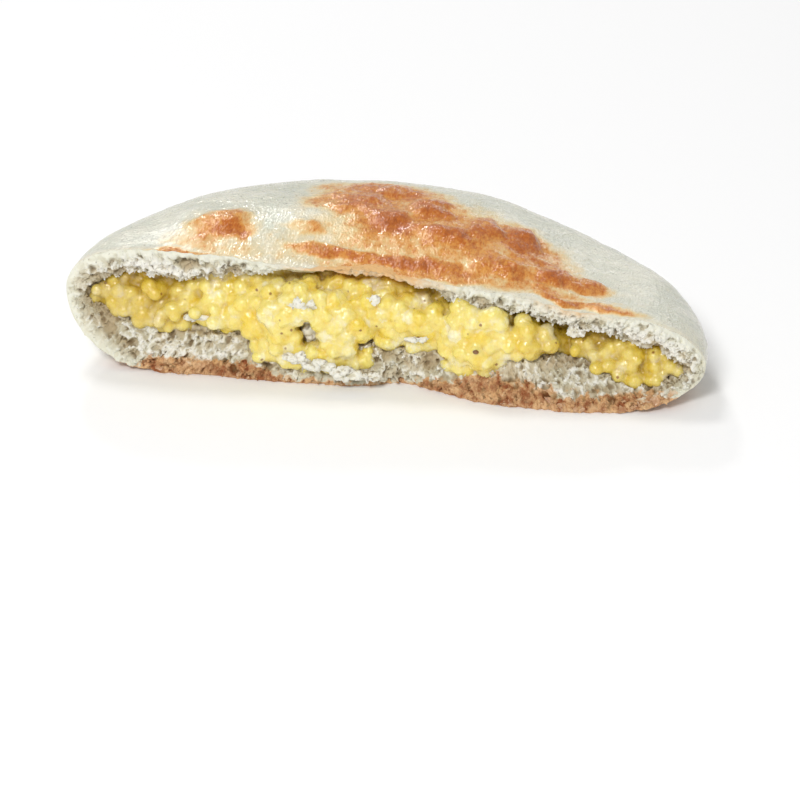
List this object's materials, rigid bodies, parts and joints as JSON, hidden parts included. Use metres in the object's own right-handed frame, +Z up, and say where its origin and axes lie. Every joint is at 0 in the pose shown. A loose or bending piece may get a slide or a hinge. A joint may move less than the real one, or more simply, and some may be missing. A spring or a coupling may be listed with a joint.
{
  "type": "torn half of a filled barley flatbread",
  "caption": "Torn half of a round griddled barley flatbread, lying flat, its sticky millet filling showing along the tear.",
  "frame": {"origin": "on the surface the half lies on, under the middle of its bounding box", "axes": "+X along the tear, towards the thin end; +Y away from the torn face, towards the round back; +Z up"},
  "size_m": [0.112, 0.0616, 0.0248],
  "materials": {
    "dough": "baked grey-green barley dough, browned on the crown, thinly glossy skin",
    "millet": "moist, sticky cooked yellow millet"
  },
  "bodies": {
    "root": {"bread": "dough", "filling": "millet"}
  },
  "joints": []
}
